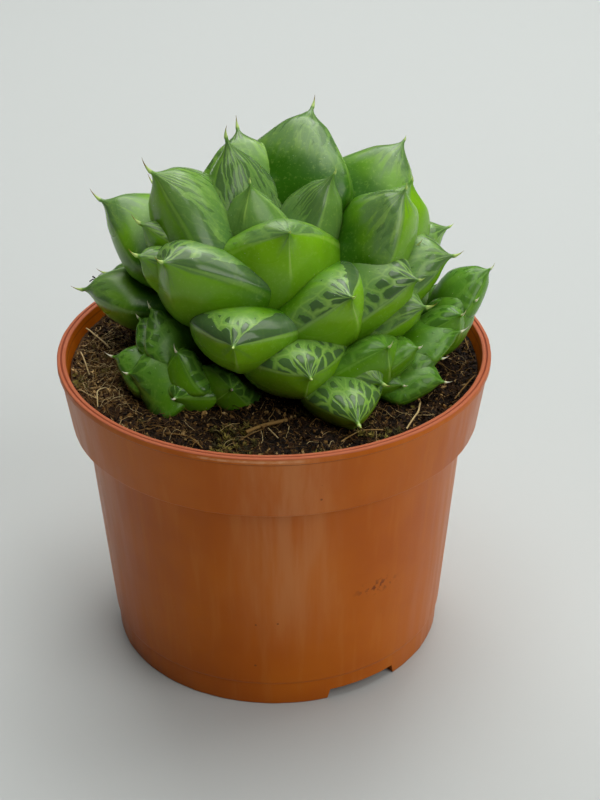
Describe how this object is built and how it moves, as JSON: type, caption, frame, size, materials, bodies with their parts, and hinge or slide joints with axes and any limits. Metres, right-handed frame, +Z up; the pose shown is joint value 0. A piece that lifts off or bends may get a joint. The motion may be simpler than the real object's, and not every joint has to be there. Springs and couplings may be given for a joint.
{
  "type": "potted haworthia",
  "caption": "Plump window-leaved succulent rosette with young offsets, rooted in peat in a round terracotta-coloured plastic nursery pot.",
  "frame": {"origin": "centre of the pot's foot, on the surface it stands on", "axes": "+Z up through the pot's axis; the plant's front faces -Y and +X is to its right"},
  "size_m": [0.09, 0.09, 0.1112],
  "materials": {
    "pot": "satin terracotta-coloured polypropylene",
    "soil": "crumbly moist peat with moss and rootlets",
    "leaf": "waxy green leaf with darker translucent windows and pale veins"
  },
  "bodies": {
    "root": {"pot": "pot", "soil": "soil", "main_rosette": "leaf", "offset_left": "leaf", "offset_right": "leaf", "offset_back": "leaf"}
  },
  "joints": []
}
